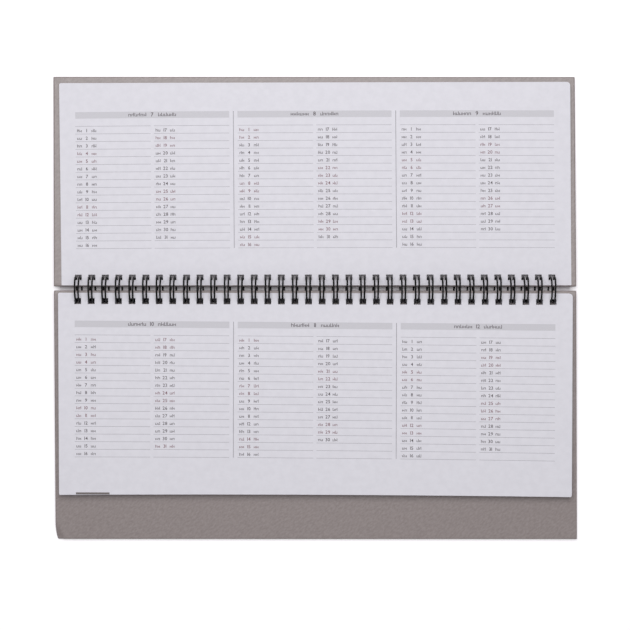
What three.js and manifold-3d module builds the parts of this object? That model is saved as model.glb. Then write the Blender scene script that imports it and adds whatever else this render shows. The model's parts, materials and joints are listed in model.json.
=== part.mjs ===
// An open desk planner: two hard covers, a block of leaves and a few turned leaves on one twin-loop wire.
// Millimetres. +X runs along the binding, +Y points to the front cover, +Z is up.
import * as THREE from 'three';
import { mergeVertices } from 'three/addons/utils/BufferGeometryUtils.js';
import Module from 'manifold-3d';

const wasm = await Module();
wasm.setup();

// Driving dimensions of the leaves
const LEAF_WIDTH = 319.8;
const LEAF_HEIGHT = 127;
const LEAF_CORNER_RADIUS = 1.2;
const BLOCK_THICKNESS = 5.8;
const TURNED_THICKNESS = 0.4;

// Driving dimensions of the hard covers
const SIDE_OVERHANG = 3.7; // cover past the leaves at each short side
const FRONT_OVERHANG = 4.5; // cover past the leaves at the front cover's far edge
const BACK_OVERHANG = 27.3; // the wide bare strip below the leaves on the back cover
const COVER_CORNER_RADIUS = 0.8;
const COVER_GAP = 2.4; // between the two covers, over the middle of the wire
const WRAP_THICKNESS = 0.35;
const BOARD_THICKNESS = 1.5;
const TURN_IN = 12; // how far the wrap reaches round onto the inner side
const TURN_IN_UNDER_LEAVES = 6; // how far the back cover's wide turn-in reaches under the leaves

// Driving dimensions of the holes and the wire
const HOLE_WIDTH = 4.3;
const COVER_HOLE_DEPTH = 4.3;
const LEAF_HOLE_DEPTH = 3.5;
const HOLE_PITCH = 25.4 / 3;
const ROW_END_MARGIN = 9; // least paper between the last hole and the leaf's short side
const COVER_HOLE_MARGIN = 3;
const LEAF_HOLE_MARGIN = 3.2;
const WIRE_DIAMETER = 1.1;
const RING_RADIUS = 8; // to the middle of the wire
const ROOT_SPREAD = 3.5; // between the two wires of one loop, at its open root
const TIP_SPREAD = 1.9; // between them at the loop's closed tip
const SEAM_ANGLE = -115; // where the tips meet the base of the comb, in degrees from +Y
const BASE_BEND_RADIUS = 0.9;

// Clearances
const GLUE_GAP = 0.15; // between the board and its wrap
const LINING_GAP = 0.3; // round the lining, inside the turn-ins
const PAPER_GAP = 0.2; // between a cover and the leaves that lie on it
const SEAT_CLEARANCE = 0.12; // between the wire and the hole edge that hangs on it
const LEAF_HOLE_CLEARANCE = 1.2; // between the wire and the near edge of a leaf's hole
const TIP_GAP = 0.6; // between a loop's tip and the base line of the comb

// Facets
const WIRE_SIDES = 4;
const STEPS_PER_WIRE = 12;
const STEPS_PER_TIP = 3;
const STEPS_PER_BEND = 2;
const STEPS_PER_CORNER = 3;

// The wire's radii, with its flat facets allowed for
const wireRadius = WIRE_DIAMETER / 2;
const facetAngle = (2 * Math.PI) / STEPS_PER_WIRE;
const vertexRadius = (2 * RING_RADIUS) / (1 + Math.cos(facetAngle / 2));
const ringInside = vertexRadius * Math.cos(facetAngle / 2) - wireRadius;
const ringOutside = vertexRadius + wireRadius;

// Heights are measured from the middle of the ring, which stands on the table
const axisZ = ringOutside;
const coverThickness = BOARD_THICKNESS + 2 * (GLUE_GAP + WRAP_THICKNESS);
const coverEdge = COVER_GAP / 2;
const coverHoleNear = coverEdge + COVER_HOLE_MARGIN;
const coverDrop = Math.sqrt((ringInside - SEAT_CLEARANCE) ** 2 - coverHoleNear ** 2);
const leavesDrop = coverDrop - coverThickness - PAPER_GAP;
const leafHoleNear = Math.sqrt(ringInside ** 2 - leavesDrop ** 2) - LEAF_HOLE_CLEARANCE;
const leafEdge = leafHoleNear - LEAF_HOLE_MARGIN;

// Sizes of the covers that follow the leaves
const coverWidth = LEAF_WIDTH + 2 * SIDE_OVERHANG;
const frontHeight = leafEdge + LEAF_HEIGHT + FRONT_OVERHANG - coverEdge;
const backHeight = leafEdge + LEAF_HEIGHT + BACK_OVERHANG - coverEdge;

// One row of holes for every piece
const holeCount = Math.floor((LEAF_WIDTH - 2 * ROW_END_MARGIN - HOLE_WIDTH) / HOLE_PITCH) + 1;
const holeX = (index) => (index - (holeCount - 1) / 2) * HOLE_PITCH;

// A cover's inner edge hangs on the ring and its outer edge lies on the table
const coverRise = axisZ - coverDrop;
const tiltOf = (height) => Math.asin(coverRise / height);
const reachOf = (height) => {
  const tilt = tiltOf(height);
  return coverEdge + height * Math.cos(tilt) + coverThickness * Math.sin(tilt);
};
const axisY = (reachOf(backHeight) - reachOf(frontHeight)) / 2;

// Finishes
const leatherette = () => new THREE.MeshStandardMaterial({ color: 0x8b807f, roughness: 0.6, metalness: 0 });
const lining = () => new THREE.MeshStandardMaterial({ color: 0x8d8483, roughness: 0.75, metalness: 0 });
const greyboard = () => new THREE.MeshStandardMaterial({ color: 0x9a958d, roughness: 0.9, metalness: 0 });
const paper = () => new THREE.MeshStandardMaterial({ color: 0xdbd9e0, roughness: 0.85, metalness: 0 });
const coatedWire = () => new THREE.MeshStandardMaterial({ color: 0x1e1e20, roughness: 0.4, metalness: 0.3 });

// Shapes and solids
function roundedOutline(x0, x1, y0, y1, radius) {
  const outline = new THREE.Shape();
  outline.moveTo(x0 + radius, y0);
  outline.lineTo(x1 - radius, y0);
  outline.absarc(x1 - radius, y0 + radius, radius, -Math.PI / 2, 0, false);
  outline.lineTo(x1, y1 - radius);
  outline.absarc(x1 - radius, y1 - radius, radius, 0, Math.PI / 2, false);
  outline.lineTo(x0 + radius, y1);
  outline.absarc(x0 + radius, y1 - radius, radius, Math.PI / 2, Math.PI, false);
  outline.lineTo(x0, y0 + radius);
  outline.absarc(x0 + radius, y0 + radius, radius, Math.PI, 1.5 * Math.PI, false);
  return outline;
}

function slab(outline, thickness, bottom) {
  const options = { depth: thickness, bevelEnabled: false, curveSegments: STEPS_PER_CORNER };
  return new THREE.ExtrudeGeometry(outline, options).translate(0, 0, bottom);
}

function block(x0, x1, y0, y1, z0, z1) {
  const box = new THREE.BoxGeometry(x1 - x0, y1 - y0, z1 - z0);
  return box.translate((x0 + x1) / 2, (y0 + y1) / 2, (z0 + z1) / 2);
}

function toSolid(geometry) {
  const bare = geometry.clone();
  bare.deleteAttribute('normal');
  bare.deleteAttribute('uv');
  const merged = mergeVertices(bare, 1e-4);
  const vertProperties = Float32Array.from(merged.attributes.position.array);
  const triVerts = Uint32Array.from(merged.index.array);
  return new wasm.Manifold(new wasm.Mesh({ numProp: 3, vertProperties, triVerts }));
}

function toGeometry(solid) {
  const mesh = solid.getMesh();
  const geometry = new THREE.BufferGeometry();
  geometry.setAttribute('position', new THREE.BufferAttribute(Float32Array.from(mesh.vertProperties), 3));
  geometry.setIndex(new THREE.BufferAttribute(Uint32Array.from(mesh.triVerts), 1));
  geometry.computeVertexNormals();
  return geometry;
}

function named(name, geometry, material) {
  const mesh = new THREE.Mesh(geometry, material);
  mesh.name = name;
  return mesh;
}

// The row of holes, cut down through a slab that lies between the heights z0 and z1
function withHoles(geometry, near, depth, z0, z1) {
  const half = HOLE_WIDTH / 2;
  let solid = toSolid(geometry);
  for (let index = 0; index < holeCount; index += 1) {
    const x = holeX(index);
    const punch = block(x - half, x + half, near, near + depth, z0 - depth, z1 + depth);
    solid = solid.subtract(toSolid(punch));
  }
  return toGeometry(solid);
}

// Leaves: a slab with one row of holes, at its place in a cover's own frame
function leavesGeometry(thickness) {
  const near = leafEdge - coverEdge;
  const half = LEAF_WIDTH / 2;
  const bottom = coverThickness + PAPER_GAP;
  const outline = roundedOutline(-half, half, near, near + LEAF_HEIGHT, LEAF_CORNER_RADIUS);
  const sheets = slab(outline, thickness, bottom);
  return withHoles(sheets, near + LEAF_HOLE_MARGIN, LEAF_HOLE_DEPTH, bottom, bottom + thickness);
}

// Board: the stiff sheet inside a cover
function boardGeometry(height) {
  const inset = WRAP_THICKNESS + GLUE_GAP;
  const half = coverWidth / 2 - inset;
  const outline = roundedOutline(-half, half, inset, height - inset, COVER_CORNER_RADIUS);
  const board = slab(outline, BOARD_THICKNESS, inset);
  return withHoles(board, COVER_HOLE_MARGIN, COVER_HOLE_DEPTH, inset, coverThickness);
}

// Wrap: one sheet round the board, with turn-ins on the inner side and a window between them
function wrapGeometry(height, farTurnIn) {
  const half = coverWidth / 2;
  const top = coverThickness;
  const outside = slab(roundedOutline(-half, half, 0, height, COVER_CORNER_RADIUS), top, 0);
  const inner = half - WRAP_THICKNESS;
  const cavity = block(-inner, inner, WRAP_THICKNESS, height - WRAP_THICKNESS, WRAP_THICKNESS, top - WRAP_THICKNESS);
  const windowHalf = half - TURN_IN;
  const window = block(-windowHalf, windowHalf, TURN_IN, height - farTurnIn, top / 2, top + WRAP_THICKNESS);
  const sheet = toSolid(outside).subtract(toSolid(cavity)).subtract(toSolid(window));
  return withHoles(toGeometry(sheet), COVER_HOLE_MARGIN, COVER_HOLE_DEPTH, 0, top);
}

// Lining: the sheet glued into the window between the turn-ins
function liningGeometry(height, farTurnIn) {
  const half = coverWidth / 2 - TURN_IN - LINING_GAP;
  const y0 = TURN_IN + LINING_GAP;
  const y1 = height - farTurnIn - LINING_GAP;
  return block(-half, half, y0, y1, coverThickness - WRAP_THICKNESS, coverThickness);
}

// Cover: board, wrap and lining in one frame, with its inner bottom edge at the origin and +Y outward
function coverPieces(prefix, height, farTurnIn) {
  return [
    named(`${prefix}_board`, boardGeometry(height), greyboard()),
    named(`${prefix}_wrap`, wrapGeometry(height, farTurnIn), leatherette()),
    named(`${prefix}_lining`, liningGeometry(height, farTurnIn), lining()),
  ];
}

function side(pieces, height, turn) {
  const tilted = new THREE.Group();
  tilted.position.set(0, coverEdge, coverRise);
  tilted.rotation.x = -tiltOf(height);
  tilted.add(...pieces);
  const placed = new THREE.Group();
  placed.position.set(0, axisY, 0);
  placed.rotation.z = turn;
  placed.add(tilted);
  return placed;
}

// Wire: a path through hand-placed points, which the extrusion follows point by point
class WirePath extends THREE.Curve {
  constructor(points) {
    super();
    this.points = points;
  }

  getPoint(t, target = new THREE.Vector3()) {
    const along = t * (this.points.length - 1);
    const index = Math.min(Math.floor(along), this.points.length - 2);
    return target.lerpVectors(this.points[index], this.points[index + 1], along - index);
  }

  getPointAt(u, target) {
    return this.getPoint(u, target);
  }

  getTangentAt(u, target = new THREE.Vector3()) {
    const last = this.points.length - 1;
    const index = Math.round(u * last);
    const before = this.points[Math.max(index - 1, 0)];
    const after = this.points[Math.min(index + 1, last)];
    return target.subVectors(after, before).normalize();
  }
}

// A point of the comb laid flat, x along the binding and s round the ring from the base line
function onRing(x, s) {
  const angle = THREE.MathUtils.degToRad(SEAM_ANGLE) + s / RING_RADIUS;
  return new THREE.Vector3(x, vertexRadius * Math.cos(angle), vertexRadius * Math.sin(angle));
}

function wirePoints() {
  const start = BASE_BEND_RADIUS;
  const tipRadius = TIP_SPREAD / 2;
  const end = 2 * Math.PI * RING_RADIUS - TIP_GAP - tipRadius;
  const spread = (s) => TIP_SPREAD + (ROOT_SPREAD - TIP_SPREAD) * (1 - (s - start) / (end - start)) ** 2;
  const points = [];
  for (let loop = 0; loop < holeCount; loop += 1) {
    const x = holeX(loop);
    for (let step = 0; step <= STEPS_PER_WIRE; step += 1) {
      const s = start + ((end - start) * step) / STEPS_PER_WIRE;
      points.push(onRing(x - spread(s) / 2, s));
    }
    for (let step = 1; step < STEPS_PER_TIP; step += 1) {
      const angle = Math.PI * (1 - step / STEPS_PER_TIP);
      points.push(onRing(x + tipRadius * Math.cos(angle), end + tipRadius * Math.sin(angle)));
    }
    for (let step = STEPS_PER_WIRE; step >= 0; step -= 1) {
      const s = start + ((end - start) * step) / STEPS_PER_WIRE;
      points.push(onRing(x + spread(s) / 2, s));
    }
    if (loop < holeCount - 1) {
      points.push(...baseLink(x + ROOT_SPREAD / 2, holeX(loop + 1) - ROOT_SPREAD / 2));
    }
  }
  return points;
}

// The straight base of the comb between two loops, with a bend at each end
function baseLink(x0, x1) {
  const points = [];
  for (let step = 1; step <= STEPS_PER_BEND; step += 1) {
    const angle = ((Math.PI / 2) * step) / STEPS_PER_BEND;
    const across = BASE_BEND_RADIUS * (1 - Math.cos(angle));
    points.push([x0 + across, BASE_BEND_RADIUS * (1 - Math.sin(angle))]);
  }
  const back = [...points].reverse().map(([x, s]) => [x0 + x1 - x, s]);
  return [...points, ...back].map(([x, s]) => onRing(x, s));
}

function wireGeometry() {
  const section = new THREE.Shape();
  for (let corner = 0; corner < WIRE_SIDES; corner += 1) {
    const angle = (2 * Math.PI * corner) / WIRE_SIDES;
    const [x, y] = [wireRadius * Math.cos(angle), wireRadius * Math.sin(angle)];
    if (corner === 0) {
      section.moveTo(x, y);
    } else {
      section.lineTo(x, y);
    }
  }
  section.closePath();
  const path = new WirePath(wirePoints());
  return new THREE.ExtrudeGeometry(section, { steps: path.points.length - 1, extrudePath: path });
}

// Assembly
const planner = new THREE.Group();

const frontPieces = coverPieces('front_cover', frontHeight, TURN_IN);
frontPieces.push(named('turned_leaves', leavesGeometry(TURNED_THICKNESS), paper()));
planner.add(side(frontPieces, frontHeight, 0));

const backPieces = coverPieces('back_cover', backHeight, BACK_OVERHANG + TURN_IN_UNDER_LEAVES);
backPieces.push(named('page_block', leavesGeometry(BLOCK_THICKNESS), paper()));
planner.add(side(backPieces, backHeight, Math.PI));

const wire = named('wire_binding', wireGeometry(), coatedWire());
wire.position.set(0, axisY, axisZ);
planner.add(wire);

export default planner;
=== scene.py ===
import json
import math
import random

import bpy
import numpy as np
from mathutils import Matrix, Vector


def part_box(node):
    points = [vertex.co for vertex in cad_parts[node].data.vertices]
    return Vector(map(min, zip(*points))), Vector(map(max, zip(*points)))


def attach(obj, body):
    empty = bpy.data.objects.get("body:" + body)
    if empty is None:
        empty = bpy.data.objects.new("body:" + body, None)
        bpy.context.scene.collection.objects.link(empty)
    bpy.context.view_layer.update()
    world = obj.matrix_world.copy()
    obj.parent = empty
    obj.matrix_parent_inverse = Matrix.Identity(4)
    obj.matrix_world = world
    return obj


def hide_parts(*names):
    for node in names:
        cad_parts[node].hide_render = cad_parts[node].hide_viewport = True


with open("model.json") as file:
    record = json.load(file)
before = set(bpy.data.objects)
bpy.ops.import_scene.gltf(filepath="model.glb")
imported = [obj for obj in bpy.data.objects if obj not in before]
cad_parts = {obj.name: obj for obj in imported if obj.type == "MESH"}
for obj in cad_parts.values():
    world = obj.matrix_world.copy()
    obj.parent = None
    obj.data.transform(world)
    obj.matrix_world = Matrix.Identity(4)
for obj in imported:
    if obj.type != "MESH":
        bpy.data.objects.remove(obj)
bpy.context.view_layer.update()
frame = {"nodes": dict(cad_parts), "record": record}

MM = 0.001
SEED = 7

# Points closer than this count as one
TOUCH = 0.01 * MM

# Sizes repeated from the CAD model
HOLE_WIDTH = 4.3 * MM
COVER_HOLE_DEPTH = 4.3 * MM
LEAF_HOLE_DEPTH = 3.5 * MM
HOLE_PITCH = 25.4 / 3 * MM
HOLE_COUNT = 36
COVER_HOLE_MARGIN = 3 * MM
LEAF_HOLE_MARGIN = 3.2 * MM
COVER_THICKNESS = 2.5 * MM
WRAP_THICKNESS = 0.35 * MM
BOARD_THICKNESS = 1.5 * MM
GLUE_GAP = 0.15 * MM
LINING_GAP = 0.3 * MM
PAPER_GAP = 0.2 * MM
BLOCK_THICKNESS = 5.8 * MM
TURNED_THICKNESS = 0.4 * MM
WIRE_DIAMETER = 1.1 * MM
RING_RADIUS = 8 * MM
ROOT_SPREAD = 3.5 * MM
TIP_SPREAD = 1.9 * MM
BASE_BEND_RADIUS = 0.9 * MM
TIP_GAP = 0.6 * MM
SEAM_ANGLE = math.radians(-115)

hinge = frame["record"]["behaviour"]["joints"][0]["pos_m"]
AXIS_Y, AXIS_Z = hinge[1], hinge[2]

# Camera, as the photograph was taken
PICTURE_WIDTH = 630
CAMERA_HEIGHT = 1.31
CAMERA_Y = AXIS_Y - 15.94 * MM
CAMERA_X = -0.05 * MM
TABLE_MM_PER_PIXEL = 0.62847
CAMERA_ROLL = math.radians(0.02)
SENSOR_WIDTH = 36

# Covers and leaves are cut a little out of square
SKEW = 0.0052


class Side:
    """The tilted frame of one cover.

    x runs along the binding, u outward from the inner edge and w up from the underside."""

    def __init__(self, node, sign):
        points = np.array([v.co for v in frame["nodes"][node].data.vertices])
        reach = sign * (points[:, 1] - AXIS_Y)
        self.sign = sign
        self.edge = reach.min()
        self.rise = points[reach < self.edge + TOUCH, 2].min()
        far = reach[points[:, 2] < points[:, 2].min() + TOUCH].max()
        self.tilt = math.atan2(self.rise, far - self.edge)
        self.height = math.hypot(self.rise, far - self.edge)
        self.half_width = points[:, 0].max()

    def along(self, y, w):
        """The u of a point at the world's y and at the height w."""
        return (self.sign * (y - AXIS_Y) - self.edge - w * math.sin(self.tilt)) / math.cos(self.tilt)

    def world(self, x, u, w):
        """The world's place of a point, with the skew of the cut."""
        out = self.edge + u * math.cos(self.tilt) + w * math.sin(self.tilt)
        up = self.rise - u * math.sin(self.tilt) + w * math.cos(self.tilt)
        return (x - SKEW * self.sign * out, AXIS_Y + self.sign * out, up)


front = Side("front_cover_wrap", 1)
back = Side("back_cover_wrap", -1)

leaf_low, leaf_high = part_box("turned_leaves")
LEAF_HALF = leaf_high.x
LEAF_NEAR = front.along(leaf_low.y, COVER_THICKNESS + PAPER_GAP)
LEAF_HEIGHT = (leaf_high.y - leaf_low.y) / math.cos(front.tilt)


def hole_x(index):
    return (index - (HOLE_COUNT - 1) / 2) * HOLE_PITCH


def smooth(t):
    t = min(max(t, 0.0), 1.0)
    return t * t * (3 - 2 * t)


# Materials
def srgb(red, green, blue):
    """A linear colour from red, green and blue of 0 to 255."""
    def linear(value):
        value /= 255
        return value / 12.92 if value <= 0.04045 else ((value + 0.055) / 1.055) ** 2.4
    return (linear(red), linear(green), linear(blue), 1.0)


class Finish:
    """A procedural material: a mottled colour and one or more bumps."""

    def __init__(self, name, roughness):
        self.material = bpy.data.materials.new(name)
        self.material.use_nodes = True
        self.tree = self.material.node_tree
        self.shader = self.tree.nodes["Principled BSDF"]
        self.shader.inputs["Roughness"].default_value = roughness
        self.coordinates = self.tree.nodes.new("ShaderNodeTexCoord").outputs["Object"]
        self.height = None

    def add(self, kind, **settings):
        node = self.tree.nodes.new(kind)
        for key, value in settings.items():
            setattr(node, key, value)
        return node

    def link(self, source, target):
        self.tree.links.new(source, target)

    def stretched(self, scale, turn=(0, 0, 0)):
        """Coordinates whose patterns are stretched by scale along turned axes."""
        mapping = self.add("ShaderNodeMapping", vector_type="TEXTURE")
        mapping.inputs["Scale"].default_value = scale
        mapping.inputs["Rotation"].default_value = turn
        self.link(self.coordinates, mapping.inputs["Vector"])
        return mapping.outputs["Vector"]

    def noise(self, scale, detail=3.0, vector=None):
        node = self.add("ShaderNodeTexNoise")
        node.inputs["Scale"].default_value = scale
        node.inputs["Detail"].default_value = detail
        self.link(vector or self.coordinates, node.inputs["Vector"])
        return node.outputs["Fac"]

    def cells(self, scale, vector=None):
        node = self.add("ShaderNodeTexVoronoi", feature="SMOOTH_F1")
        node.inputs["Scale"].default_value = scale
        self.link(vector or self.coordinates, node.inputs["Vector"])
        return node.outputs["Distance"]

    def ramp(self, value, stops):
        node = self.add("ShaderNodeValToRGB")
        low, high = stops
        node.color_ramp.elements[0].position, node.color_ramp.elements[0].color = low
        node.color_ramp.elements[1].position, node.color_ramp.elements[1].color = high
        self.link(value, node.inputs["Fac"])
        return node.outputs["Color"]

    def colour(self, value, dark, light, low=0.35, high=0.65):
        self.link(self.ramp(value, ((low, dark), (high, light))), self.shader.inputs["Base Color"])

    def bump(self, value, distance, strength=1.0):
        node = self.add("ShaderNodeBump")
        node.inputs["Strength"].default_value = strength
        node.inputs["Distance"].default_value = distance
        self.link(value, node.inputs["Height"])
        if self.height:
            self.link(self.height, node.inputs["Normal"])
        self.height = node.outputs["Normal"]
        self.link(self.height, self.shader.inputs["Normal"])


def leatherette():
    finish = Finish("leatherette", 0.38)
    grain = finish.stretched((1.0, 0.5, 0.6), (0, 0, math.radians(42)))
    finish.colour(finish.noise(420, 4, grain), srgb(140, 129, 128), srgb(152, 141, 140))
    finish.bump(finish.noise(60), 0.25 * MM, 0.25)
    finish.bump(finish.cells(620, grain), 0.12 * MM, 0.5)
    finish.bump(finish.noise(1500, 2, grain), 0.05 * MM, 0.4)
    finish.shader.inputs["Specular IOR Level"].default_value = 0.7
    return finish.material


def lining_paper():
    finish = Finish("lining_paper", 0.8)
    finish.colour(finish.noise(500), srgb(140, 131, 130), srgb(149, 140, 139))
    finish.bump(finish.noise(1400, 2), 0.03 * MM, 0.4)
    return finish.material


def greyboard():
    finish = Finish("greyboard", 0.9)
    finish.colour(finish.noise(700, 5), srgb(146, 141, 134), srgb(166, 161, 153))
    finish.bump(finish.noise(1200, 3), 0.08 * MM, 0.6)
    return finish.material


def white_paper():
    finish = Finish("white_paper", 0.8)
    finish.colour(finish.noise(260, 5), srgb(229, 227, 235), srgb(233, 231, 239))
    finish.bump(finish.noise(2200, 3), 0.02 * MM, 0.35)
    finish.shader.inputs["Specular IOR Level"].default_value = 0.25
    return finish.material


def coated_wire():
    finish = Finish("coated_wire", 0.36)
    finish.colour(finish.noise(900, 2), srgb(11, 11, 12), srgb(19, 18, 20))
    finish.bump(finish.noise(2600, 2), 0.02 * MM, 0.3)
    finish.shader.inputs["Specular IOR Level"].default_value = 0.14
    return finish.material


def ink(name, dark, light):
    finish = Finish(name, 0.7)
    finish.colour(finish.noise(3000, 2), dark, light)
    return finish.material


LEATHER = leatherette()
LINING = lining_paper()
BOARD = greyboard()
PAPER = white_paper()
WIRE = coated_wire()
GREY_INK = ink("grey_ink", srgb(207, 205, 212), srgb(214, 212, 219))
LINE_INK = ink("line_ink", srgb(156, 153, 161), srgb(170, 167, 174))
DARK_INK = ink("dark_ink", srgb(78, 70, 76), srgb(96, 88, 94))
RED_INK = ink("red_ink", srgb(122, 84, 94), srgb(140, 100, 110))
# The colour of the dark taupe bar at the free edge of the block's top leaf
MARK_INK = ink("mark_ink", srgb(110, 102, 102), srgb(128, 120, 120))


# Meshes
def new_object(name, vertices, faces, materials, face_materials=None):
    mesh = bpy.data.meshes.new(name)
    mesh.from_pydata(vertices, [], faces)
    for material in materials:
        mesh.materials.append(material)
    if face_materials is not None:
        mesh.polygons.foreach_set("material_index", face_materials)
    mesh.validate()
    mesh.update()
    piece = bpy.data.objects.new(name, mesh)
    bpy.context.scene.collection.objects.link(piece)
    return piece


def shade_smooth(piece, angle):
    for polygon in piece.data.polygons:
        polygon.use_smooth = True
    piece.data.set_sharp_from_angle(angle=math.radians(angle))


TINY = 1e-9


def grid_lines(low, high, fixed, step):
    """Sorted lines from low to high: the fixed ones, and even ones where those leave more than a step."""
    inside = [value for value in [low, high, *fixed] if low - TINY <= value <= high + TINY]
    lines = sorted({round(value, 8) for value in inside})
    filled = [lines[0]]
    for line in lines[1:]:
        count = max(1, math.ceil((line - filled[-1]) / step - 1e-6))
        start = filled[-1]
        filled += [start + (line - start) * k / count for k in range(1, count + 1)]
    return filled


def hole_lines(width=HOLE_WIDTH):
    """The left and right edges of every hole."""
    return [hole_x(k) + s * width / 2 for k in range(HOLE_COUNT) for s in (-1, 1)]


def near_border(low, high, offsets):
    """Lines at the offsets from both ends."""
    return [low + offset for offset in offsets] + [high - offset for offset in offsets]


def pulled_corner(x, u, half, near, far, radius):
    """Moves a point of the square corner onto the rounded one."""
    a = abs(x) - (half - radius)
    b_far = u - (far - radius)
    b_near = (near + radius) - u
    b = max(b_far, b_near)
    if a <= 0 or b <= 0:
        return x, u
    scale = max(a, b) / math.hypot(a, b)
    x_new = math.copysign(half - radius + a * scale, x)
    u_new = far - radius + b * scale if b_far > b_near else near + radius - b * scale
    return x_new, u_new


def plate(xs, us, holes, low, high, shift, place, start=0, hole_width=HOLE_WIDTH):
    """Vertices and quads of a closed plate over a grid, with the row of holes left out.

    holes gives the row's near and far edge, and low and high give the heights of the two faces.
    shift moves a point in the plane, and place maps it to the world."""
    columns, rows = len(xs), len(us)
    open_columns = [
        any(abs((xs[i] + xs[i + 1]) / 2 - hole_x(k)) < hole_width / 2 for k in range(HOLE_COUNT))
        for i in range(columns - 1)
    ]
    open_rows = [holes[0] < (us[j] + us[j + 1]) / 2 < holes[1] for j in range(rows - 1)]
    neighbours = ((0, -1), (1, 0), (0, 1), (-1, 0))

    def filled(i, j):
        inside = 0 <= i < columns - 1 and 0 <= j < rows - 1
        return inside and not (open_columns[i] and open_rows[j])

    index, vertices, faces = {}, [], []

    def vertex(i, j, top):
        key = (i, j, top)
        if key not in index:
            index[key] = start + len(vertices)
            x, u = shift(xs[i], us[j])
            vertices.append(place(x, u, high(xs[i], us[j]) if top else low(xs[i], us[j])))
        return index[key]

    for i in range(columns - 1):
        for j in range(rows - 1):
            if not filled(i, j):
                continue
            corners = [(i, j), (i + 1, j), (i + 1, j + 1), (i, j + 1)]
            faces.append([vertex(*c, True) for c in corners])
            faces.append([vertex(*c, False) for c in reversed(corners)])
            for k, (di, dj) in enumerate(neighbours):
                if not filled(i + di, j + dj):
                    a, b = corners[k], corners[(k + 1) % 4]
                    wall = [(*a, False), (*b, False), (*b, True), (*a, True)]
                    faces.append([vertex(*corner) for corner in wall])
    return vertices, faces


def turned(faces, side):
    """The back cover's frame is mirrored, so its faces are turned round."""
    return faces if side.sign > 0 else [face[::-1] for face in faces]


# Covers
EDGE_ROUND = 0.8 * MM
COVER_CORNER = 0.5 * MM
CORNER_ZONE = 12 * MM
FINE_STEP = 0.5 * MM
EDGE_STEPS = (0.06, 0.2, 0.45, 0.75, 1.0)
COVER_COLUMN = 9 * MM
COVER_ROW = 5 * MM
CORE_STEP = 4 * MM
HOLE_WEAR = 0.4 * MM
COVER_HOLES = (COVER_HOLE_MARGIN, COVER_HOLE_MARGIN + COVER_HOLE_DEPTH + HOLE_WEAR)
CORE_PLAY = 0.1 * MM

# The window for the lining, a little deeper than the sheet
WINDOW_WALL = 0.05 * MM
WINDOW_SEAT = 0.05 * MM
WINDOW_DEPTH = WRAP_THICKNESS + WINDOW_SEAT

# The turn-in's last fold, which ends at a slanted line near each far corner
FOLD_STEP = 0.132 * MM
FOLD_FOOT = 8 * MM
FOLD_LEAN = 0.85
FOLD_SLOPE = 0.7 * MM
FOLD_START = 0.8 * MM
FOLD_BORDER = 0.3 * MM

# How far each cover sits outward of its place, and how much shorter it is
FRONT_FIT = (0.65 * MM, 0.85 * MM)
BACK_FIT = (-0.6 * MM, -0.6 * MM)

# The back cover's left far corner is bent in and down beside a crease
BENT_IN = 1.6 * MM
BENT_WIDTH = 14 * MM
BENT_LENGTH = 12 * MM
CREASE_FOOT = 4.9 * MM
CREASE_LEAN = 0.31
CREASE_SLOPE = 0.3
CREASE_FADE = (6 * MM, 10 * MM)


def edge_drop(distance):
    """How far the rounded edge lies below the flat face at a distance from the border."""
    if distance >= EDGE_ROUND:
        return 0.0
    return EDGE_ROUND - math.sqrt(EDGE_ROUND**2 - (EDGE_ROUND - max(distance, 0.0)) ** 2)


def bent(side, x, u):
    """How far a point is moved inward near the bent corner, and how far it sinks beside the crease."""
    if side is front:
        return 0.0, 0.0
    from_side = x + side.half_width
    from_end = side.height - u
    inward = BENT_IN * max(0, 1 - from_end / BENT_LENGTH) ** 3 * max(0, 1 - from_side / BENT_WIDTH)
    crease = CREASE_FOOT - CREASE_LEAN * from_end
    fade = smooth((CREASE_FADE[1] - from_end) / (CREASE_FADE[1] - CREASE_FADE[0]))
    return inward, CREASE_SLOPE * max(0, crease - from_side) * fade


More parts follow.
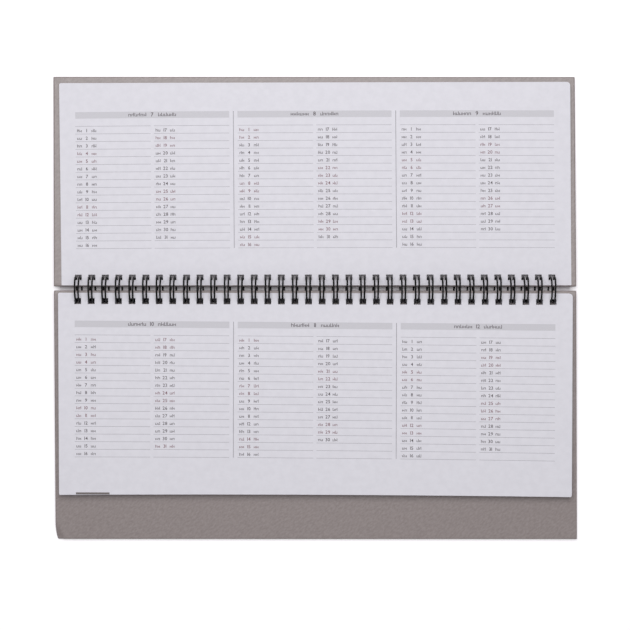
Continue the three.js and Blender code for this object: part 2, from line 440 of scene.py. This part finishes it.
def cover(name, side, lining_node, slip, trim):
    """A cover's wrap: slip moves it outward and trim takes off its height."""
    low_corner, high_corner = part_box(lining_node)
    lining_near, lining_far = sorted(side.along(y, COVER_THICKNESS) for y in (low_corner.y, high_corner.y))
    window_near, window_far = lining_near - LINING_GAP, lining_far + LINING_GAP
    window_half = high_corner.x + LINING_GAP
    half, height = side.half_width, side.height
    rounding = [EDGE_ROUND * share for share in EDGE_STEPS]
    corner_steps = [FINE_STEP * k for k in range(2, int(CORNER_ZONE / FINE_STEP) + 1)]
    window_xs = [s * x for s in (-1, 1) for x in (window_half, window_half + WINDOW_WALL)]
    window_us = [window_near, window_near - WINDOW_WALL, window_far, window_far + WINDOW_WALL]
    side_steps = near_border(-half, half, rounding + corner_steps)
    end_steps = [*near_border(0, height, rounding), *(height - step for step in corner_steps)]
    x_lines = grid_lines(-half, half, [*hole_lines(), *side_steps, *window_xs], COVER_COLUMN)
    u_lines = grid_lines(0, height, [*COVER_HOLES, *end_steps, *window_us], COVER_ROW)

    def border(x, u):
        return min(half - abs(x), u, height - u)

    def folded(x, u):
        """The height of the turn-in's last fold, a step beside a slanted line near each far corner."""
        from_end = height - u
        inside = (half - abs(x)) - FOLD_FOOT - FOLD_LEAN * from_end
        fade = smooth((CORNER_ZONE - from_end) / CORNER_ZONE) * smooth(from_end / FOLD_START)
        return FOLD_STEP * smooth(0.5 - inside / FOLD_SLOPE) * fade

    def high(x, u):
        top = COVER_THICKNESS - edge_drop(border(x, u))
        if abs(x) < window_half + TOUCH and window_near - TOUCH < u < window_far + TOUCH:
            return top - WINDOW_DEPTH
        if border(x, u) > FOLD_BORDER:
            top += folded(x, u)
        return top - bent(side, x, u)[1]

    def low(x, u):
        return edge_drop(border(x, u))

    def shift(x, u):
        x_new, u_new = pulled_corner(x, u, half, 0, height, COVER_CORNER)
        return x_new + bent(side, x, u)[0], u_new * (1 - trim / height) + slip

    vertices, faces = plate(x_lines, u_lines, COVER_HOLES, low, high, shift, side.world)
    piece = new_object(name, vertices, turned(faces, side), [LEATHER])
    shade_smooth(piece, 50)
    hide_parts(name.replace("_shell", "_wrap"))
    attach(piece, "front_cover" if side is front else "back_cover")
    return piece


def core(name, side, slip, trim):
    """The stiff board inside a cover, bent with it."""
    inset = WRAP_THICKNESS + CORE_PLAY
    half, height = side.half_width, side.height
    width = HOLE_WIDTH + 2 * CORE_PLAY
    holes = (COVER_HOLES[0] - CORE_PLAY, COVER_HOLES[1] + CORE_PLAY)
    x_lines = grid_lines(inset - half, half - inset, hole_lines(width), CORE_STEP)
    u_lines = grid_lines(inset, height - inset, holes, CORE_STEP)
    bottom = WRAP_THICKNESS + GLUE_GAP

    def low(x, u):
        return bottom

    def high(x, u):
        return bottom + BOARD_THICKNESS - bent(side, x, u)[1]

    def shift(x, u):
        return x + bent(side, x, u)[0], u * (1 - trim / height) + slip

    vertices, faces = plate(x_lines, u_lines, holes, low, high, shift, side.world, hole_width=width)
    piece = new_object(name, vertices, turned(faces, side), [BOARD])
    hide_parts(name.replace("_core", "_board"))
    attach(piece, "front_cover" if side is front else "back_cover")
    return piece


cover("front_cover_shell", front, "front_cover_lining", *FRONT_FIT)
cover("back_cover_shell", back, "back_cover_lining", *BACK_FIT)
core("front_cover_core", front, *FRONT_FIT)
core("back_cover_core", back, *BACK_FIT)

for node in ("front_cover_lining", "back_cover_lining"):
    frame["nodes"][node].data.materials.clear()
    frame["nodes"][node].data.materials.append(LINING)


# Leaves
LEAF_BORDER = 9.4 * MM
LEAF_COLUMN = 9 * MM
LEAF_ROW = 4 * MM
CORNER_STEPS = (0.3, 0.6, 1.0)

# Corner radii, by the side of x and the near or far end
FRONT_CORNERS = {(-1, -1): 0.4 * MM, (1, -1): 0.4 * MM, (-1, 1): 1.1 * MM, (1, 1): 2.2 * MM}
BACK_CORNERS = {(-1, -1): 1.0 * MM, (1, -1): 1.9 * MM, (-1, 1): 0.6 * MM, (1, 1): 1.1 * MM}
FRONT_HOLES = (LEAF_NEAR + LEAF_HOLE_MARGIN, LEAF_NEAR + LEAF_HOLE_MARGIN + LEAF_HOLE_DEPTH)
BACK_HOLES = (FRONT_HOLES[0], FRONT_HOLES[1] + HOLE_WEAR)
LEAF_BOTTOM = COVER_THICKNESS + PAPER_GAP
LEAF_FAR = LEAF_NEAR + LEAF_HEIGHT


class Leaf:
    """One leaf, at its height over the cover, turned and slipped in its plane.

    trims are what is cut off its left and right edges, each at the near and the far end.
    drawn is how far its free edge is drawn in: at the middle, less a share of x and one of x squared."""

    def __init__(self, side, base, thickness, rise, turn, slip, trims, drawn):
        self.side = side
        self.base = base
        self.thickness = thickness
        self.rise = rise
        self.turn = turn
        self.slip = slip
        self.trims = trims
        self.drawn = drawn
        self.corners = FRONT_CORNERS if side is front else BACK_CORNERS
        self.holes = FRONT_HOLES if side is front else BACK_HOLES

    def bottom(self, x, u):
        return self.base + self.rise(x, (u - LEAF_NEAR) / LEAF_HEIGHT)

    def top(self, x, u):
        return self.bottom(x, u) + self.thickness

    def shifted(self, x, u):
        """A point of the true rectangle, moved to its place in the plane of the cover."""
        middle, lean, bow = self.drawn
        drawn_in = middle - lean * x / LEAF_HALF - bow * (x / LEAF_HALF) ** 2
        du = (u - LEAF_NEAR) * (1 - drawn_in / LEAF_HEIGHT) - LEAF_HEIGHT / 2
        border = smooth((abs(x) - LEAF_HALF + LEAF_BORDER) / LEAF_BORDER)
        left, right = self.trims
        near, far = right if x > 0 else left
        trim = border * (near + (far - near) * (u - LEAF_NEAR) / LEAF_HEIGHT)
        across = x * math.cos(self.turn) - du * math.sin(self.turn) - (trim if x > 0 else -trim)
        along = x * math.sin(self.turn) + du * math.cos(self.turn) + self.slip
        return across, along + LEAF_NEAR + LEAF_HEIGHT / 2

    def mesh(self, start, fine):
        """Its plate, with vertices counted from start and a fine or a coarse grid."""
        row = LEAF_ROW if fine else LEAF_HEIGHT
        column = LEAF_COLUMN if fine else 2 * LEAF_HALF
        corner = [radius * share for radius in self.corners.values() for share in CORNER_STEPS]
        side_steps = near_border(-LEAF_HALF, LEAF_HALF, corner)
        end_steps = near_border(LEAF_NEAR, LEAF_FAR, corner)
        xs = grid_lines(-LEAF_HALF, LEAF_HALF, [*hole_lines(), *side_steps], column)
        us = grid_lines(LEAF_NEAR, LEAF_FAR, [*self.holes, *end_steps], row)

        def shift(x, u):
            end = 1 if u > LEAF_NEAR + LEAF_HEIGHT / 2 else -1
            radius = self.corners[(1 if x > 0 else -1, end)]
            return self.shifted(*pulled_corner(x, u, LEAF_HALF, LEAF_NEAR, LEAF_FAR, radius))

        return plate(xs, us, self.holes, self.bottom, self.top, shift, self.side.world, start)


def leaves(name, node, body, sheets):
    """One piece from a stack of leaves, given as (leaf, whether its grid is fine)."""
    vertices, faces = [], []
    for sheet, fine in sheets:
        more_vertices, more_faces = sheet.mesh(len(vertices), fine)
        vertices += more_vertices
        faces += turned(more_faces, sheet.side)
    piece = new_object(name, vertices, faces, [PAPER])
    shade_smooth(piece, 40)
    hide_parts(node)
    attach(piece, body)
    return piece


draw = random.Random(SEED)

# The rest of a sheet's share of its stack is air
SHEET_SHARE = 0.85

# A few leaves turned onto the front cover, whose free edges stand off it
TURNED_COUNT = 4
FREE_LIFT = 2.6 * MM
LEFT_DROOP = 0.55
LIFT_CURVE = 1.5
FRONT_SLIPS_MM = (0.3, 0.5)
FRONT_TURNS = (0.0, 0.08)
FRONT_TOP_SLIP = 0.4 * MM
FRONT_TOP_TURN = 0.045
FRONT_TRIMS = ((1.25 * MM, 0.2 * MM), (-0.45 * MM, -0.4 * MM))
FRONT_DRAWN = (0.08 * MM, 0.27 * MM, 0.0)
turned_sheet = TURNED_THICKNESS / TURNED_COUNT


def lifting(lift):
    """Stands off more and more towards the free edge, and less at the left."""
    def rise(x, t):
        share_left = (LEAF_HALF - x) / (2 * LEAF_HALF)
        return lift * (1 - LEFT_DROOP * share_left**3) * smooth(t) ** LIFT_CURVE
    return rise


front_sheets = []
for k in range(TURNED_COUNT):
    lift = FREE_LIFT * (k + 1) / TURNED_COUNT
    slip = draw.uniform(*FRONT_SLIPS_MM) * MM
    turn = draw.uniform(*FRONT_TURNS)
    if k == TURNED_COUNT - 1:
        slip, turn = FRONT_TOP_SLIP, FRONT_TOP_TURN
    front_sheets.append(Leaf(
        front, LEAF_BOTTOM + k * turned_sheet, turned_sheet * SHEET_SHARE, lifting(lift),
        math.radians(turn), slip, FRONT_TRIMS, FRONT_DRAWN))
leaves("turned_sheets", "turned_leaves", "front_cover", [(sheet, True) for sheet in front_sheets])

# The block on the back cover, whose free edge sags
BLOCK_COUNT = 26
BLOCK_SAG = 0.5 * MM
SAG_START = 0.4
SAG_LEAN = 0.25
BACK_SLIPS_MM = (0.0, 0.2)
BACK_TURNS = (0.04, 0.12)
BACK_TOP_SLIP = 0.2 * MM
BACK_TOP_TURN = 0.15
BACK_TRIMS = ((-0.4 * MM, -0.4 * MM), (-0.5 * MM, 0.1 * MM))
BACK_DRAWN = (1.37 * MM, 0.27 * MM, 0.75 * MM)
block_sheet = BLOCK_THICKNESS / BLOCK_COUNT


def sagging(depth):
    """Sinks towards the free edge, and more at the right."""
    return lambda x, t: -depth * smooth(t - SAG_START) * (1 + SAG_LEAN * x / LEAF_HALF)


back_sheets = []
for k in range(BLOCK_COUNT):
    slip = draw.uniform(*BACK_SLIPS_MM) * MM
    turn = draw.uniform(*BACK_TURNS)
    top_leaf = k == BLOCK_COUNT - 1
    if top_leaf:
        slip, turn = BACK_TOP_SLIP, BACK_TOP_TURN
    sheet = Leaf(
        back, LEAF_BOTTOM + k * block_sheet, block_sheet * SHEET_SHARE,
        sagging(BLOCK_SAG * k / BLOCK_COUNT), math.radians(turn), slip, BACK_TRIMS, BACK_DRAWN)
    back_sheets.append((sheet, top_leaf))
leaves("block_sheets", "page_block", "page_block", back_sheets)


# Print on the two open leaves
PAGE_HEAD = 18.0 * MM
BAR_HEIGHT = 4.1 * MM
FIRST_LINE = 26.95 * MM
LINE_PITCH = 4.8 * MM
ROW_COUNT = 16
LINE_WIDTH = 0.2 * MM
COLUMN_PITCH = 101.6 * MM
COLUMN_WIDTH = 96.4 * MM
SUB_WIDTH = 47.2 * MM
INK_HEIGHT = 0.012 * MM
BAR_STEP = 6 * MM
DIGIT_HEIGHT = 2.1 * MM
DIGIT_BOLDNESS = 0.012
NUMBER_AT = 7.1 * MM
WORDS_AT = (2.55 * MM, 11.6 * MM)
LETTER_WIDTH = 1.25 * MM
LETTER_SPACE = 0.35 * MM
LETTER_HEIGHT = 1.3 * MM
LETTER_STROKE = 0.3 * MM
LETTER_RISES = (1.0, 1.0, 1.0, 1.45)
CROSS_LEVELS = (0.25, 0.6, 1.0)
CROSS_STROKE = 0.8
LETTERS = 2
BASELINE = 1.15 * MM
TITLE_BASELINE = 1.1 * MM
TITLE_SCALE = 1.2
TITLE_WORD_AT = 9.3 * MM
TITLE_LETTERS = 6
RULE_AT = 50.8 * MM
RULE_HALF_WIDTH = 0.2 * MM
DIGIT_SPACE = 0.28 * MM

# A dark taupe bar at the free edge of the block's top leaf: its left, right, upper and lower edge on the
# page
EDGE_BAR = (-149 * MM, -128 * MM, 126.1 * MM, 127.4 * MM)

# Months as (days, free days), with nothing but their numbers printed
UPPER_MONTHS = (
    (31, {4, 5, 11, 12, 18, 19, 25, 26}),
    (31, {1, 2, 8, 9, 15, 16, 22, 23, 24, 29, 30}),
    (30, {5, 6, 12, 13, 19, 20, 26, 27}))
LOWER_MONTHS = (
    (31, {1, 3, 4, 10, 11, 17, 18, 24, 25, 31}),
    (30, {1, 7, 8, 14, 15, 21, 22, 28, 29}),
    (31, {5, 6, 12, 13, 19, 20, 25, 26, 27}))
FIRST_MONTH_NUMBER = 7


def digit_shapes():
    """Flat outlines of the ten digits, as (vertices, faces, width), scaled to the printed height."""
    shapes = {}
    for digit in "0123456789":
        curve = bpy.data.curves.new("digit", "FONT")
        curve.body = digit
        curve.resolution_u = 2
        curve.offset = DIGIT_BOLDNESS
        text = bpy.data.objects.new("digit", curve)
        bpy.context.scene.collection.objects.link(text)
        bpy.context.view_layer.update()
        mesh = text.evaluated_get(bpy.context.evaluated_depsgraph_get()).to_mesh()
        points = np.array([v.co[:2] for v in mesh.vertices])
        faces = [list(p.vertices) for p in mesh.polygons]
        shapes[digit] = (points, faces)
        text.to_mesh_clear()
        bpy.data.objects.remove(text)
        bpy.data.curves.remove(curve)
    tall = shapes["8"][0][:, 1].max() - shapes["8"][0][:, 1].min()
    scaled = {}
    for digit, (points, faces) in shapes.items():
        points = (points - [points[:, 0].min(), 0]) * DIGIT_HEIGHT / tall
        scaled[digit] = (points, faces, points[:, 0].max())
    return scaled


DIGITS = digit_shapes()


class Print:
    """Ink on a top leaf: x runs to the right from the page's middle and y down from its head."""

    def __init__(self, leaf, head_far, turn, offset, bow):
        self.leaf = leaf
        self.head_far = head_far
        self.turn = turn
        self.offset = offset
        self.bow = bow
        self.vertices, self.faces, self.inks = [], [], []

    def at(self, x, y, lift):
        y_turned = y + self.offset[1] + x * math.tan(self.turn) - self.bow * (1 - (x / LEAF_HALF) ** 2)
        x += self.offset[0] - (y - LEAF_HEIGHT / 2) * math.tan(self.turn)
        u = LEAF_FAR - y_turned if self.head_far else LEAF_NEAR + y_turned
        w = self.leaf.top(x, u) + lift
        return self.leaf.side.world(*self.leaf.shifted(x, u), w)

    def flat(self, points, faces, ink_index, lift=INK_HEIGHT):
        start = len(self.vertices)
        self.vertices += [self.at(x, y, lift) for x, y in points]
        self.faces += [[start + k for k in face] for face in faces]
        self.inks += [ink_index] * len(faces)

    def bar(self, x0, x1, y0, y1, ink_index, lift=INK_HEIGHT):
        xs = grid_lines(x0, x1, [], BAR_STEP)
        ys = grid_lines(y0, y1, [], BAR_STEP)
        points = [(x, y) for y in ys for x in xs]
        faces = []
        for row in range(len(ys) - 1):
            for column in range(len(xs) - 1):
                corner = row * len(xs) + column
                faces.append([corner, corner + len(xs), corner + len(xs) + 1, corner + 1])
        self.flat(points, faces, ink_index, lift)

    def number(self, value, x, baseline, ink_index, scale=1.0, lift=INK_HEIGHT):
        digits = str(value)
        width = sum(DIGITS[d][2] for d in digits) * scale + DIGIT_SPACE * (len(digits) - 1)
        left = x - width / 2
        for digit in digits:
            points, faces, wide = DIGITS[digit]
            placed = [(left + px * scale, baseline - py * scale) for px, py in points]
            self.flat(placed, [face[::-1] for face in faces], ink_index, lift)
            left += wide * scale + DIGIT_SPACE

    def word(self, x, baseline, letters, ink_index, scale=1.0, lift=INK_HEIGHT):
        """Blank letter shapes in the place of a word: two uneven uprights and a level stroke each."""
        pitch = (LETTER_WIDTH + LETTER_SPACE) * scale
        wide, stroke = LETTER_WIDTH * scale, LETTER_STROKE * scale
        left = x - (letters * pitch - LETTER_SPACE * scale) / 2
        for k in range(letters):
            start = left + k * pitch
            first, second = (LETTER_HEIGHT * scale * draw.choice(LETTER_RISES) for _ in range(2))
            level = baseline - LETTER_HEIGHT * scale * draw.choice(CROSS_LEVELS)
            self.bar(start, start + stroke, baseline - first, baseline, ink_index, lift)
            self.bar(start + wide - stroke, start + wide, baseline - second, baseline, ink_index, lift)
            lower = level + stroke * CROSS_STROKE
            self.bar(start + stroke, start + wide - stroke, level, lower, ink_index, lift)

    def finish(self, name, body):
        piece = new_object(name, self.vertices, self.faces, INKS, self.inks)
        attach(piece, body)
        return piece


INKS = [GREY_INK, LINE_INK, DARK_INK, RED_INK, MARK_INK]
GREY, LINE, DARK, RED, MARK = range(len(INKS))


def printed_page(name, page, body, months, first_number):
    """Three months side by side, each with two columns of ruled and numbered days."""
    last_line = FIRST_LINE + ROW_COUNT * LINE_PITCH
    for column, (days, free) in enumerate(months):
        left = (column - 1) * COLUMN_PITCH - COLUMN_WIDTH / 2
        middle = left + COLUMN_WIDTH / 2
        page.bar(left, left + COLUMN_WIDTH, PAGE_HEAD, PAGE_HEAD + BAR_HEIGHT, GREY)
        title = PAGE_HEAD + BAR_HEIGHT - TITLE_BASELINE
        page.number(first_number + column, middle, title, DARK, TITLE_SCALE, 2 * INK_HEIGHT)
        page.word(middle - TITLE_WORD_AT, title, TITLE_LETTERS, DARK, TITLE_SCALE, 2 * INK_HEIGHT)
        page.word(middle + TITLE_WORD_AT, title, TITLE_LETTERS, DARK, TITLE_SCALE, 2 * INK_HEIGHT)
        for sub in range(2):
            start = left if sub == 0 else left + COLUMN_WIDTH - SUB_WIDTH
            for row in range(ROW_COUNT + 1):
                y = FIRST_LINE + row * LINE_PITCH
                page.bar(start, start + SUB_WIDTH, y - LINE_WIDTH / 2, y + LINE_WIDTH / 2, LINE)
            for row in range(ROW_COUNT):
                day = sub * ROW_COUNT + row + 1
                if day > days:
                    continue
                tone = RED if day in free else DARK
                baseline = FIRST_LINE + (row + 1) * LINE_PITCH - BASELINE
                page.number(day, start + NUMBER_AT, baseline, tone)
                for place in WORDS_AT:
                    page.word(start + place, baseline, LETTERS, tone)
    for x in (-RULE_AT, RULE_AT):
        page.bar(x - RULE_HALF_WIDTH, x + RULE_HALF_WIDTH, PAGE_HEAD, last_line, LINE)
    return page.finish(name, body)


upper_page = Print(
    front_sheets[-1], head_far=True, turn=math.radians(-0.085), offset=(0.25 * MM, 0.1 * MM), bow=0.4 * MM)
lower_page = Print(
    back_sheets[-1][0], head_far=False, turn=math.radians(0.26), offset=(-0.45 * MM, 0.1 * MM), bow=0.0)
# A dark taupe bar along the free edge of the block's top leaf
lower_page.bar(*EDGE_BAR, MARK)
printed_page("upper_print", upper_page, "front_cover", UPPER_MONTHS, FIRST_MONTH_NUMBER)
printed_page("lower_print", lower_page, "page_block", LOWER_MONTHS, FIRST_MONTH_NUMBER + len(UPPER_MONTHS))


# Wire: one continuous comb of double loops
WIRE_STEPS = 40
TIP_STEPS = 10
BEND_STEPS = 5


def ring_point(x, s):
    """A point of the comb laid flat, x along the binding and s round the ring from its base line."""
    angle = SEAM_ANGLE + s / RING_RADIUS
    return (x, AXIS_Y + RING_RADIUS * math.cos(angle), AXIS_Z + RING_RADIUS * math.sin(angle))


def wire_route():
    tip_radius = TIP_SPREAD / 2
    start = BASE_BEND_RADIUS
    end = 2 * math.pi * RING_RADIUS - TIP_GAP - tip_radius
    route = []
    for loop in range(HOLE_COUNT):
        x = hole_x(loop)
        up = []
        for step in range(WIRE_STEPS + 1):
            t = step / WIRE_STEPS
            half = (TIP_SPREAD + (ROOT_SPREAD - TIP_SPREAD) * (1 - t) ** 2) / 2
            up.append((half, start + (end - start) * t))
        route += [ring_point(x - half, s) for half, s in up]
        for step in range(1, TIP_STEPS):
            angle = math.pi * (1 - step / TIP_STEPS)
            route.append(ring_point(x + tip_radius * math.cos(angle), end + tip_radius * math.sin(angle)))
        route += [ring_point(x + half, s) for half, s in reversed(up)]
        if loop == HOLE_COUNT - 1:
            continue
        left, right = x + ROOT_SPREAD / 2, hole_x(loop + 1) - ROOT_SPREAD / 2
        bend = []
        for step in range(1, BEND_STEPS + 1):
            angle = math.pi / 2 * step / BEND_STEPS
            across = BASE_BEND_RADIUS * (1 - math.cos(angle))
            bend.append((across, BASE_BEND_RADIUS * (1 - math.sin(angle))))
        route += [ring_point(left + across, s) for across, s in bend]
        route += [ring_point(right - across, s) for across, s in reversed(bend)]
    return route


def wire():
    curve = bpy.data.curves.new("wire_loops", "CURVE")
    curve.dimensions = "3D"
    curve.bevel_depth = WIRE_DIAMETER / 2
    curve.bevel_resolution = 2
    curve.use_fill_caps = True
    route = wire_route()
    spline = curve.splines.new("POLY")
    spline.points.add(len(route) - 1)
    for point, place in zip(spline.points, route):
        point.co = (*place, 1)
    source = bpy.data.objects.new("wire_route", curve)
    bpy.context.scene.collection.objects.link(source)
    bpy.context.view_layer.update()
    mesh = bpy.data.meshes.new_from_object(source.evaluated_get(bpy.context.evaluated_depsgraph_get()))
    mesh.materials.clear()
    mesh.materials.append(WIRE)
    bpy.data.objects.remove(source)
    piece = bpy.data.objects.new("wire_loops", mesh)
    bpy.context.scene.collection.objects.link(piece)
    shade_smooth(piece, 60)
    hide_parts("wire_binding")
    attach(piece, "back_cover")


wire()


# Floor, light and camera
FLOOR_HALF = 3.0
FLOOR_COLOUR = (0.9, 0.87, 0.91, 1)
FLOOR_GLOW = 0.36
GLOW_COLOUR = (1, 0.99, 0.99, 1)
SKY_LIGHT = 0.32
KEY_PLACE = (-0.02, 0.36, 1.05)
KEY_SIZE = 0.8
KEY_POWER = 8.4

# The floor doesn't glow in the gap between the covers, whose ends are soft
GAP_REACH = 10 * MM
GAP_END = 4 * MM
UNDERCUT = 1 * MM


def math_node(tree, operation, *values):
    """The output of a node whose inputs are plain numbers or other nodes' outputs."""
    node = tree.nodes.new("ShaderNodeMath")
    node.operation = operation
    for socket, value in zip(node.inputs, values):
        if isinstance(value, float):
            socket.default_value = value
        else:
            tree.links.new(value, socket)
    return node.outputs[0]


def for_camera(tree, elsewhere, seen):
    """One value where the camera looks at it and another for the light that it sheds."""
    path = tree.nodes.new("ShaderNodeLightPath")
    choice = tree.nodes.new("ShaderNodeMapRange")
    choice.inputs["To Min"].default_value = elsewhere
    choice.inputs["To Max"].default_value = seen
    tree.links.new(path.outputs["Is Camera Ray"], choice.inputs["Value"])
    return choice.outputs["Result"]


def beyond_gap(tree):
    """Zero in the gap between the covers and one outside it."""
    place = tree.nodes.new("ShaderNodeSeparateXYZ")
    tree.links.new(tree.nodes.new("ShaderNodeTexCoord").outputs["Object"], place.inputs[0])
    aside = tree.nodes.new("ShaderNodeMapRange")
    aside.inputs["From Min"].default_value = front.half_width - GAP_END
    aside.inputs["From Max"].default_value = front.half_width - UNDERCUT
    tree.links.new(math_node(tree, "ABSOLUTE", place.outputs["X"]), aside.inputs["Value"])
    above = math_node(tree, "GREATER_THAN", place.outputs["Y"], AXIS_Y + GAP_REACH)
    below = math_node(tree, "LESS_THAN", place.outputs["Y"], AXIS_Y - GAP_REACH)
    return math_node(tree, "MAXIMUM", aside.outputs["Result"], math_node(tree, "MAXIMUM", above, below))


def floor():
    half = FLOOR_HALF
    corners = [(-half, -half, 0), (half, -half, 0), (half, half, 0), (-half, half, 0)]
    material = bpy.data.materials.new("floor_white")
    material.use_nodes = True
    tree = material.node_tree
    shader = tree.nodes["Principled BSDF"]
    shader.inputs["Base Color"].default_value = FLOOR_COLOUR
    shader.inputs["Roughness"].default_value = 0.9
    shader.inputs["Specular IOR Level"].default_value = 0.1
    shader.inputs["Emission Color"].default_value = GLOW_COLOUR
    glow = math_node(tree, "MULTIPLY", for_camera(tree, 0.0, FLOOR_GLOW), beyond_gap(tree))
    tree.links.new(glow, shader.inputs["Emission Strength"])
    return new_object("floor", corners, [[0, 1, 2, 3]], [material])


floor()


def area_light(name, place, target, size, energy):
    light = bpy.data.lights.new(name, "AREA")
    light.size = size
    light.energy = energy
    lamp = bpy.data.objects.new(name, light)
    lamp.location = place
    lamp.rotation_euler = (Vector(target) - Vector(place)).to_track_quat("-Z", "Y").to_euler()
    bpy.context.scene.collection.objects.link(lamp)


area_light("key", KEY_PLACE, (0, 0, 0), KEY_SIZE, KEY_POWER)

world = bpy.data.worlds.new("studio")
bpy.context.scene.world = world
world.use_nodes = True
background = world.node_tree.nodes["Background"]
background.inputs["Color"].default_value = (1, 1, 1, 1)
sky = for_camera(world.node_tree, SKY_LIGHT, 1.0)
world.node_tree.links.new(sky, background.inputs["Strength"])

camera_data = bpy.data.cameras.new("camera")
camera_data.sensor_width = SENSOR_WIDTH
camera_data.lens = SENSOR_WIDTH * CAMERA_HEIGHT / (PICTURE_WIDTH * TABLE_MM_PER_PIXEL * MM)
camera = bpy.data.objects.new("camera", camera_data)
camera.location = (CAMERA_X, CAMERA_Y, CAMERA_HEIGHT)
camera.rotation_euler = (0, 0, CAMERA_ROLL)
bpy.context.scene.collection.objects.link(camera)
bpy.context.scene.camera = camera
bpy.context.scene.view_settings.view_transform = "Standard"

bpy.context.view_layer.update()
